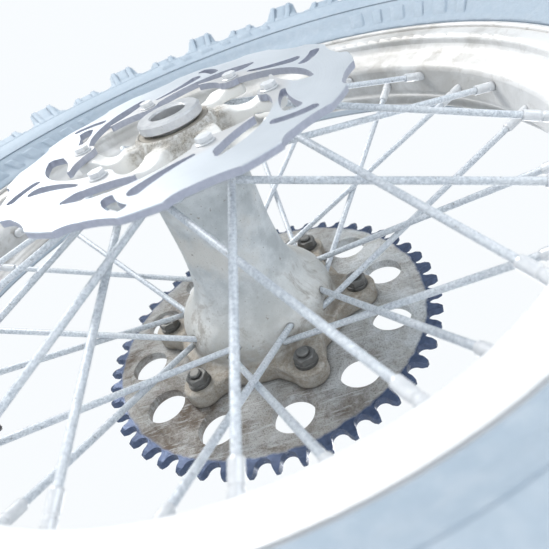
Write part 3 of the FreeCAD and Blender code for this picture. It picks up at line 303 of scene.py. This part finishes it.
def collar_aluminium():
    """Turned aluminium, bright with ring marks and knocks."""
    made = Shader("collar_aluminium")
    rings = made.noise(60.0, 3.0, 0.6, 0.0, (4.0, 40.0, 4.0))
    wear = made.noise(240.0, 8.0, 0.7)
    metal = made.mix(wear, (0.50, 0.51, 0.53), (0.86, 0.87, 0.88))
    nicks = made.between(made.noise(330.0, 9.0, 0.8, 1.2), 0.60, 0.68)
    colour = made.mix(made.maths("MULTIPLY", nicks, 0.7), metal, (0.20, 0.19, 0.18))
    made.set("Base Color", colour)
    made.set("Metallic", 0.85)
    made.set("Roughness", made.blend(wear, 0.22, 0.48))
    turned = made.bump(rings, 0.08 * MM)
    made.bump(made.maths("SUBTRACT", 1.0, nicks), 0.25 * MM, turned)
    return made.material


def disc_steel():
    """Stainless rotor: a ground braking track with fine rings, cut walls darker and bluish, partly from their
    own unground finish and partly as painted shade.
    """
    made = Shader("disc_steel")
    radius = made.axle_radius()
    wave = made.node("ShaderNodeTexNoise", noise_dimensions="1D")
    wave.inputs["Scale"].default_value = 2600.0
    wave.inputs["Detail"].default_value = 3.0
    made.link(radius, wave.inputs["W"])
    rings = wave.outputs["Fac"]
    clouds = made.noise(26.0, 5.0, 0.6)
    face = made.mix(clouds, (0.54, 0.585, 0.63), (0.70, 0.74, 0.785))
    face = made.mix(made.maths("MULTIPLY", made.between(rings, 0.5, 0.7), 0.22), face, (0.45, 0.47, 0.50))
    track = made.between(radius, 68 * MM, 76 * MM)
    inner = made.mix(clouds, (0.52, 0.525, 0.53), (0.70, 0.70, 0.71))
    face = made.mix(track, inner, face)
    # cut walls: partly their own unground finish, partly painted shade on the walls that run along the axle
    wall = made.mix(made.noise(420.0, 5.0, 0.6), (0.30, 0.32, 0.40), (0.52, 0.54, 0.62))
    colour = made.mix(made.between(made.facing_axle(), 0.35, 0.75), wall, face)
    specks = made.between(made.noise(750.0, 3.0, 0.6), 0.68, 0.76)
    colour = made.mix(made.maths("MULTIPLY", specks, 0.35), colour, (0.25, 0.21, 0.17))
    made.set("Base Color", colour)
    made.set("Metallic", 0.5)
    made.set("Roughness", made.blend(clouds, 0.34, 0.5))
    made.bump(rings, 0.03 * MM)
    return made.material


def sprocket_steel():
    """Worn sprocket: caked dust and oil on the body, teeth polished dark by the chain."""
    made = Shader("sprocket_steel")
    radius = made.axle_radius()
    clouds = made.noise(48.0, 7.0, 0.65)
    body = made.mix(made.between(clouds, 0.30, 0.70), (0.38, 0.37, 0.345), (0.60, 0.63, 0.65))
    grime = made.between(made.noise(15.0, 9.0, 0.74, 0.4), 0.43, 0.60)
    sand = made.noise(950.0, 8.0, 0.85)
    body = made.mix(made.maths("MULTIPLY", made.between(sand, 0.50, 0.62), 0.6), body, (0.66, 0.655, 0.63))
    muddy_side = made.between(made.maths("ADD", made.across(), made.height()), 40 * MM, -110 * MM)
    grime = made.maths("MULTIPLY", grime, made.blend(muddy_side, 0.4, 1.0))
    body = made.mix(made.maths("MULTIPLY", muddy_side, 0.35), body, (0.24, 0.195, 0.15))
    body = made.mix(grime, body, (0.12, 0.088, 0.062))
    body = made.mix(made.maths("MULTIPLY", made.between(sand, 0.49, 0.38), 0.8), body, (0.07, 0.055, 0.045))
    scratches = made.between(made.noise(60.0, 6.0, 0.7, 0.0, (1.0, 1.0, 9.0)), 0.54, 0.62)
    body = made.mix(made.maths("MULTIPLY", scratches, 0.4), body, (0.68, 0.70, 0.71))
    edge_of_teeth = made.maths("ADD", radius, made.maths("MULTIPLY", made.noise(90.0, 5.0, 0.6), 6 * MM))
    teeth = made.between(edge_of_teeth, SPROCKET_RADIUS - 9.0 * MM, SPROCKET_RADIUS - 6.5 * MM)
    steel = made.mix(made.noise(300.0, 5.0, 0.6), (0.022, 0.034, 0.075), (0.12, 0.165, 0.28))
    colour = made.mix(teeth, body, steel)
    # painted shade in the crevices, from ambient occlusion
    colour = made.mix(made.maths("MULTIPLY", made.crevice_shade(4 * MM), 0.5), colour, (0.05, 0.045, 0.04))
    made.set("Base Color", colour)
    made.set("Metallic", made.blend(teeth, 0.1, 0.45))
    made.set("Roughness", made.blend(teeth, 0.7, 0.24))
    crust = made.bump(made.noise(650.0, 6.0, 0.7), 0.3 * MM)
    made.bump(made.maths("MULTIPLY", grime, made.noise(300.0, 5.0, 0.6)), 0.6 * MM, crust)
    return made.material


def bolt_steel():
    """Dark fasteners with oily dust and rubbed corners."""
    made = Shader("bolt_steel")
    clouds = made.noise(240.0, 7.0, 0.7)
    metal = made.mix(clouds, (0.09, 0.09, 0.088), (0.32, 0.315, 0.30))
    # painted shade in the crevices, from ambient occlusion
    colour = made.mix(made.maths("MULTIPLY", made.crevice_shade(3 * MM), 0.7), metal, (0.03, 0.027, 0.024))
    made.set("Base Color", colour)
    made.set("Metallic", 0.6)
    made.set("Roughness", made.blend(clouds, 0.34, 0.64))
    made.bump(made.noise(900.0, 5.0, 0.7), 0.16 * MM)
    return made.material


def bearing_steel():
    """Ground bearing steel with a film of grease."""
    made = Shader("bearing_steel")
    film = made.noise(190.0, 5.0, 0.6)
    made.set("Base Color", made.mix(film, (0.55, 0.55, 0.56), (0.76, 0.76, 0.77)))
    made.set("Metallic", 1.0)
    made.set("Roughness", made.blend(film, 0.14, 0.32))
    made.bump(made.noise(1400.0, 2.0, 0.5), 0.02 * MM)
    return made.material


def spacer_steel():
    """Plain steel tube and stampings with a brown film."""
    made = Shader("spacer_steel")
    film = made.noise(120.0, 6.0, 0.7)
    made.set("Base Color", made.mix(film, (0.20, 0.17, 0.14), (0.46, 0.45, 0.44)))
    made.set("Metallic", 0.8)
    made.set("Roughness", made.blend(film, 0.30, 0.55))
    made.bump(made.noise(700.0, 4.0, 0.6), 0.06 * MM)
    return made.material


def soft_rubber(name, dark, light, dustiness=0.4):
    """Moulded rubber for seals, shields, tape and tube."""
    made = Shader(name)
    clouds = made.noise(150.0, 6.0, 0.7)
    dust = made.between(made.noise(90.0, 8.0, 0.7), 0.50, 0.75)
    rubber = made.mix(clouds, dark, light)
    made.set("Base Color", made.mix(made.maths("MULTIPLY", dust, dustiness), rubber, (0.40, 0.375, 0.34)))
    made.set("Roughness", made.blend(clouds, 0.48, 0.8))
    made.bump(made.noise(800.0, 3.0, 0.6), 0.08 * MM)
    return made.material


def valve_brass():
    """Tarnished brass."""
    made = Shader("valve_brass")
    tarnish = made.noise(170.0, 7.0, 0.7)
    made.set("Base Color", made.mix(tarnish, (0.26, 0.19, 0.10), (0.72, 0.58, 0.32)))
    made.set("Metallic", 0.9)
    made.set("Roughness", made.blend(tarnish, 0.26, 0.55))
    made.bump(made.noise(900.0, 4.0, 0.6), 0.05 * MM)
    return made.material


def cap_plastic():
    """Black moulded plastic, scuffed grey."""
    made = Shader("cap_plastic")
    scuffs = made.noise(400.0, 6.0, 0.7)
    made.set("Base Color", made.mix(scuffs, (0.02, 0.02, 0.022), (0.11, 0.11, 0.115)))
    made.set("Roughness", made.blend(scuffs, 0.4, 0.7))
    made.bump(made.noise(1200.0, 3.0, 0.6), 0.04 * MM)
    return made.material


def floor_paint():
    """Matt pale paint, lifted a little for the camera so that the far floor stays pale."""
    made = Shader("floor_paint")
    seen = made.node("ShaderNodeLightPath").outputs["Is Camera Ray"]
    made.set("Emission Color", (0.90, 0.94, 1.0))
    made.set("Emission Strength", made.maths("MULTIPLY", seen, 0.34))
    clouds = made.noise(1.6, 4.0, 0.5)
    made.set("Base Color", made.mix(clouds, (0.86, 0.88, 0.90), (0.90, 0.915, 0.93)))
    made.set("Roughness", 0.85)
    made.bump(made.noise(120.0, 3.0, 0.5), 0.2 * MM)
    return made.material


FINISHES = {
    "tyre_rubber": tyre_rubber(), "rim_aluminium": rim_aluminium(), "spoke_steel": spoke_steel(),
    "nipple_plating": nipple_plating(), "hub_casting": hub_casting(),
    "collar_aluminium": collar_aluminium(), "disc_steel": disc_steel(),
    "sprocket_steel": sprocket_steel(), "bolt_steel": bolt_steel(), "bearing_steel": bearing_steel(),
    "spacer_steel": spacer_steel(), "valve_brass": valve_brass(), "cap_plastic": cap_plastic(),
    "tube_rubber": soft_rubber("tube_rubber", (0.015, 0.015, 0.016), (0.05, 0.05, 0.052)),
    "tape_rubber": soft_rubber("tape_rubber", (0.03, 0.03, 0.032), (0.09, 0.088, 0.085)),
    "seal_rubber": soft_rubber("seal_rubber", (0.26, 0.235, 0.20), (0.45, 0.415, 0.36), 0.9),
}
SLOT_OF = {part["node"]: part["material_slot"] for part in frame["record"]["subparts"]}


def paint(piece, slot):
    piece.data.materials.clear()
    piece.data.materials.append(FINISHES[slot])


# ---------------------------------------------------------------- CAD pieces kept as they are

SOFT_EDGES = {"brake_disc": 0.25, "sprocket": 0.35, "sprocket_nuts": 0.3, "collar_disc_side": 0.25,
              "collar_sprocket_side": 0.25, "disc_bolts": 0.2, "sprocket_bolts": 0.2, "rim": 0.4}


def finish_cad_nodes():
    """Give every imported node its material, and a small rounding to the edges that catch light."""
    for name, node in NODES.items():
        paint(node, SLOT_OF[name])
        if name in SOFT_EDGES:
            rounding = node.modifiers.new("edges", "BEVEL")
            rounding.width = SOFT_EDGES[name] * MM
            rounding.segments = 2
            rounding.limit_method = "ANGLE"
            rounding.angle_limit = math.radians(40)
            rounding.harden_normals = True


# ---------------------------------------------------------------- mesh helpers

def new_piece(name, mesh, body, slot, *replaced):
    """Turn a bmesh into a piece that rides on a body and stands for the named CAD nodes."""
    data = bpy.data.meshes.new(name)
    mesh.to_mesh(data)
    mesh.free()
    piece = bpy.data.objects.new(name, data)
    bpy.context.scene.collection.objects.link(piece)
    piece.data.materials.append(FINISHES[slot])
    for face in data.polygons:
        face.use_smooth = True
    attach(piece, body)
    if replaced:
        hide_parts(*replaced)
    return piece


def on_wheel(radius, angle, along):
    return Vector((radius * math.cos(angle), along, radius * math.sin(angle)))


# ---------------------------------------------------------------- hub casting

def make_hub():
    """The hub's own shape, with the rounded corners and fillets that a casting has."""
    source = NODES["hub"]
    mesh = bmesh.new()
    mesh.from_mesh(source.data)
    hub = new_piece("hub_cast", mesh, "wheel", "hub_casting", "hub")
    rounder = hub.modifiers.new("round", "REMESH")
    rounder.mode = "VOXEL"
    rounder.voxel_size = 0.9 * MM
    rounder.use_smooth_shade = True
    smoother = hub.modifiers.new("fillets", "SMOOTH")
    smoother.factor = 0.5
    smoother.iterations = 9


# ---------------------------------------------------------------- tyre

TREAD_DEPTH = 14 * MM
CROWN = TYRE_RADIUS - TREAD_DEPTH
STEPS_ROUND = 540
PITCHES = 42                                             # knob groups round the tyre
SHOULDER_LEAN = 0.60                                     # outward tilt of the shoulder knobs, radians
SHOULDER_SINK = 6 * MM                                   # how far their feet go into the carcass


def carcass_line():
    """Anchors of half the tyre's outer section as (radius, place), from the crown to the bead."""
    half = TYRE_HALF_WIDTH
    lip = LIP_RADIUS
    return [
        (CROWN, 0.0), (CROWN - 1.2 * MM, 18 * MM), (CROWN - 5 * MM, 34 * MM), (CROWN - 12 * MM, 45 * MM),
        (CROWN - 22 * MM, 51.5 * MM), (CROWN - 36 * MM, half - 2.6 * MM), (CROWN - 50 * MM, half - 3.6 * MM),
        (CROWN - 62 * MM, half - 9 * MM), (CROWN - 71 * MM, half - 17 * MM), (lip + 3.6 * MM, 36 * MM),
        (lip + 0.4 * MM, 33.2 * MM),
    ]


def smooth_line(anchors, steps):
    """A Catmull-Rom curve through the anchors."""
    points = []
    last = len(anchors) - 1
    for index in range(last):
        before = Vector(anchors[max(index - 1, 0)])
        start = Vector(anchors[index])
        end = Vector(anchors[index + 1])
        after = Vector(anchors[min(index + 2, last)])
        for step in range(steps):
            t = step / steps
            points.append(0.5 * (2 * start + (end - before) * t
                                 + (2 * before - 5 * start + 4 * end - after) * t ** 2
                                 + (3 * start - before - 3 * end + after) * t ** 3))
    points.append(Vector(anchors[last]))
    return points


def carcass_section():
    """The whole closed section: over the outside from bead to bead, then back round the cavity."""
    outer = smooth_line(carcass_line(), 5)
    seat, bead = 26.6 * MM, LIP_RADIUS - 13.5 * MM
    lower = [Vector((LIP_RADIUS + 0.2 * MM, seat + 0.3 * MM)), Vector((bead + 6 * MM, seat)),
             Vector((bead, seat)), Vector((bead, seat - 6 * MM)), Vector((bead + 10 * MM, seat - 7 * MM))]
    inner = smooth_line([(bead + 24 * MM, seat + 8 * MM), (CROWN - 46 * MM, 47 * MM),
                         (CROWN - 22 * MM, 40 * MM), (CROWN - 11 * MM, 20 * MM),
                         (CROWN - 9 * MM, 0.0)], 4)
    half = outer + lower + inner
    mirrored = [Vector((point.x, -point.y)) for point in reversed(half[1:-1])]
    return half + mirrored


def revolve(mesh, section, steps):
    rings = []
    for step in range(steps):
        angle = 2 * math.pi * step / steps
        rings.append([mesh.verts.new(on_wheel(point.x, angle, point.y)) for point in section])
    for step in range(steps):
        ring, following = rings[step], rings[(step + 1) % steps]
        for index in range(len(section)):
            after = (index + 1) % len(section)
            mesh.faces.new((ring[index], ring[after], following[after], following[index]))


def surface_at(place):
    """Radius of the carcass at that place across the tread."""
    line = smooth_line(carcass_line()[:6], 8)
    place = abs(place)
    for start, end in zip(line, line[1:]):
        if start.y <= place <= end.y:
            share = (place - start.y) / max(end.y - start.y, 1e-9)
            return start.x + (end.x - start.x) * share
    return line[-1].x


# a knob's footprint is an octagon with short corners, so that the block has small chamfers
KNOB_CORNERS = ((1, -0.78), (1, 0.78), (0.78, 1), (-0.78, 1),
                (-1, 0.78), (-1, -0.78), (-0.78, -1), (0.78, -1))


def add_knob(mesh, angle, place, length, width, height, lean, twist=0.0, flare=1.12, sink=3 * MM):
    """A tapered block. lean tips it outwards, twist turns its footprint and flare widens its foot."""
    radius = surface_at(place)
    centre = on_wheel(radius, angle, place)
    outward = on_wheel(1.0, angle, 0.0)
    axle = Vector((0, 1, 0))
    up = (outward * math.cos(lean) + axle * math.sin(lean)).normalized()
    around = axle.cross(outward).normalized()
    across = around.cross(up).normalized()
    turned_around = around * math.cos(twist) + across * math.sin(twist)
    turned_across = across * math.cos(twist) - around * math.sin(twist)
    rings = []
    layers = ((-sink, flare * 1.12), (0.04 * height, flare), (0.22 * height, 1.0 + (flare - 1.0) * 0.25),
              (0.92 * height, 0.90), (height, 0.83))
    for level, spread in layers:
        ring = []
        for corner in range(8):
            share_around, share_across = KNOB_CORNERS[corner]
            offset = turned_around * (share_around * length / 2) + turned_across * (share_across * width / 2)
            ring.append(mesh.verts.new(centre + offset * spread + up * level))
        rings.append(ring)
    for lower, upper in zip(rings, rings[1:]):
        for index in range(8):
            after = (index + 1) % 8
            mesh.faces.new((lower[index], lower[after], upper[after], upper[index]))
    mesh.faces.new(rings[-1])
    mesh.faces.new(list(reversed(rings[0])))


def add_side_knob(mesh, angle, side, tall):
    """A shoulder knob with two upright ridges on its outer wall; every second one is taller."""
    place = side * (44.0 if tall else 43.0) * MM
    height = (20.5 if tall else 10.5) * MM
    length = (30 if tall else 32) * MM
    lean = side * SHOULDER_LEAN
    add_knob(mesh, angle, place, length, 16 * MM, height, lean, flare=1.42, sink=SHOULDER_SINK)
    for way in (-1, 1):
        ridge = angle + way * length * 0.31 / TYRE_RADIUS
        add_knob(mesh, ridge, place + side * 2.4 * MM, length * 0.20, 14.5 * MM, height * 0.96,
                 lean, flare=1.25, sink=SHOULDER_SINK)


def make_tyre():
    mesh = bmesh.new()
    revolve(mesh, carcass_section(), STEPS_ROUND)
    step = 2 * math.pi / PITCHES
    for number in range(PITCHES):
        angle = number * step
        # a wide centre block, and on each side a block half a pitch on, an outer block and a shoulder knob
        add_knob(mesh, angle, 0.0, 22 * MM, 24 * MM, TREAD_DEPTH - 1.0 * MM, 0.0)
        for side in (-1, 1):
            add_knob(mesh, angle + step * 0.5, side * 13 * MM, 20 * MM, 15 * MM,
                     TREAD_DEPTH - 1.4 * MM, side * 0.08, side * 0.12)
            add_knob(mesh, angle + step * 0.04, side * 29 * MM, 21 * MM, 14 * MM,
                     TREAD_DEPTH - 1.0 * MM, side * 0.24, side * -0.1)
            add_side_knob(mesh, angle + step * 0.5, side, number % 2 == 0)
    add_sidewall_marks(mesh)
    bmesh.ops.recalc_face_normals(mesh, faces=mesh.faces)
    tyre = new_piece("tyre_tread", mesh, "wheel", "tyre_rubber", "tyre")
    rounding = tyre.modifiers.new("edges", "BEVEL")
    rounding.width = 0.8 * MM
    rounding.segments = 2
    rounding.limit_method = "ANGLE"
    rounding.angle_limit = math.radians(35)


def sidewall_at(radius):
    """Place of the carcass along the axle at that radius."""
    line = smooth_line(carcass_line(), 5)
    for start, end in zip(line, line[1:]):
        if end.x <= radius <= start.x:
            share = (start.x - radius) / max(start.x - end.x, 1e-9)
            return start.y + (end.y - start.y) * share
    return line[-1].y


PAD_STEPS_ROUND = 6
PAD_STEPS_OUT = 5
PAD_RISE = 1.8 * MM
PAD_SLANT = 6 * MM
PADS_PER_GROUP = 6
PAD_GROUPS = 4


def add_pad(mesh, angle, length, low, high, side):
    """A thin raised pad on the sidewall: a slanted patch between two radii, with sloping edges."""
    grid = []
    for number in range(PAD_STEPS_ROUND + 1):
        row = []
        for level in range(PAD_STEPS_OUT + 1):
            share = level / PAD_STEPS_OUT
            radius = low + (high - low) * share
            round_pad = (number / PAD_STEPS_ROUND - 0.5) * length
            turn = angle + round_pad / radius + PAD_SLANT * (share - 0.5) / radius
            edge = number in (0, PAD_STEPS_ROUND) or level in (0, PAD_STEPS_OUT)
            lift = -0.4 * MM if edge else PAD_RISE
            row.append(mesh.verts.new(on_wheel(radius, turn, side * (sidewall_at(radius) + lift))))
        grid.append(row)
    for row, following in zip(grid, grid[1:]):
        for level in range(PAD_STEPS_OUT):
            mesh.faces.new((row[level], row[level + 1], following[level + 1], following[level]))


def add_sidewall_marks(mesh):
    """Plain moulded ribs and groups of slanted pads on each sidewall, in place of any lettering."""
    # inner radius, outer radius and first angle of each row of pads
    rows = ((LIP_RADIUS + 5 * MM, LIP_RADIUS + 17 * MM, 30), (LIP_RADIUS + 27 * MM, LIP_RADIUS + 41 * MM, 75))
    for side in (-1, 1):
        for rib in (LIP_RADIUS + 22 * MM, LIP_RADIUS + 46 * MM):
            place = side * sidewall_at(rib)
            revolve(mesh, [Vector((rib + 1.5 * MM, place)), Vector((rib, place + side * 0.9 * MM)),
                           Vector((rib - 1.5 * MM, place)), Vector((rib, place - side * 1.0 * MM))],
                    STEPS_ROUND)
        for low, high, first_angle in rows:
            for group in range(PAD_GROUPS):
                for pad in range(PADS_PER_GROUP):
                    length = (15 if pad % 2 else 10) * MM
                    angle = math.radians(group * 360 / PAD_GROUPS + first_angle + pad * 4.6)
                    add_pad(mesh, angle, length, low, high, side)


# ---------------------------------------------------------------- floor, light and camera

FLOOR_REACH = 30.0
FLOOR_GAP = 0.5 * MM


def make_floor():
    mesh = bmesh.new()
    bmesh.ops.create_grid(mesh, x_segments=8, y_segments=8, size=FLOOR_REACH)
    data = bpy.data.meshes.new("floor")
    mesh.to_mesh(data)
    mesh.free()
    floor = bpy.data.objects.new("floor", data)
    floor.location.z = FLOOR_LEVEL - FLOOR_GAP
    floor.data.materials.append(floor_paint())
    bpy.context.scene.collection.objects.link(floor)


def make_area_light(name, place, target, width, power, tint):
    data = bpy.data.lights.new(name, "AREA")
    data.shape = "DISK"
    data.size = width
    data.energy = power
    data.color = tint
    lamp = bpy.data.objects.new(name, data)
    lamp.location = place
    lamp.rotation_euler = (Vector(target) - Vector(place)).to_track_quat("-Z", "Y").to_euler()
    bpy.context.scene.collection.objects.link(lamp)


def make_light():
    world = bpy.data.worlds.new("studio")
    world.use_nodes = True
    tree = world.node_tree
    # the room is seen bright, and lights the wheel more softly
    seen = tree.nodes["Background"]
    seen.inputs["Color"].default_value = (0.945, 0.975, 1.0, 1.0)
    seen.inputs["Strength"].default_value = 1.0
    lighting = tree.nodes.new("ShaderNodeBackground")
    lighting.inputs["Color"].default_value = (0.86, 0.93, 1.0, 1.0)
    lighting.inputs["Strength"].default_value = 0.62
    rays = tree.nodes.new("ShaderNodeLightPath")
    chosen = tree.nodes.new("ShaderNodeMixShader")
    tree.links.new(rays.outputs["Is Camera Ray"], chosen.inputs["Fac"])
    tree.links.new(lighting.outputs[0], chosen.inputs[1])
    tree.links.new(seen.outputs[0], chosen.inputs[2])
    tree.links.new(chosen.outputs[0], tree.nodes["World Output"].inputs["Surface"])
    bpy.context.scene.world = world
    make_area_light("key", (-0.75, -1.2, 0.9), (0, 0, 0), 0.7, 24.0, (1.0, 0.985, 0.96))
    make_area_light("fill", (1.1, -0.9, -0.1), (0, 0, 0), 0.9, 5.0, (0.90, 0.95, 1.0))
    make_area_light("back", (0.3, 1.5, 0.9), (0, 0, 0), 1.0, 12.0, (1.0, 1.0, 1.0))
    bpy.context.scene.view_settings.view_transform = "Standard"


def make_camera():
    """Close in beside the disc, low in the wheel, looking across the hub to the sprocket."""
    place = Vector((65.6, -150.5, -303.9)) * MM
    target = Vector((23.8, 40.0, -24.5)) * MM
    roll = math.radians(-8.41)
    data = bpy.data.cameras.new("camera")
    data.sensor_width = 36.0
    data.lens = 33.43
    data.clip_start = 0.005
    data.dof.use_dof = True
    data.dof.focus_object = NODES["brake_disc"]          # sharp at the hub, soft close to the camera
    data.dof.aperture_fstop = 13.0
    camera = bpy.data.objects.new("camera", data)
    aim = (target - place).to_track_quat("-Z", "Y").to_matrix().to_4x4()
    camera.matrix_world = Matrix.Translation(place) @ aim @ Matrix.Rotation(roll, 4, "Z")
    bpy.context.scene.collection.objects.link(camera)
    bpy.context.scene.camera = camera


finish_cad_nodes()
make_hub()
make_tyre()
make_floor()
make_light()
make_camera()
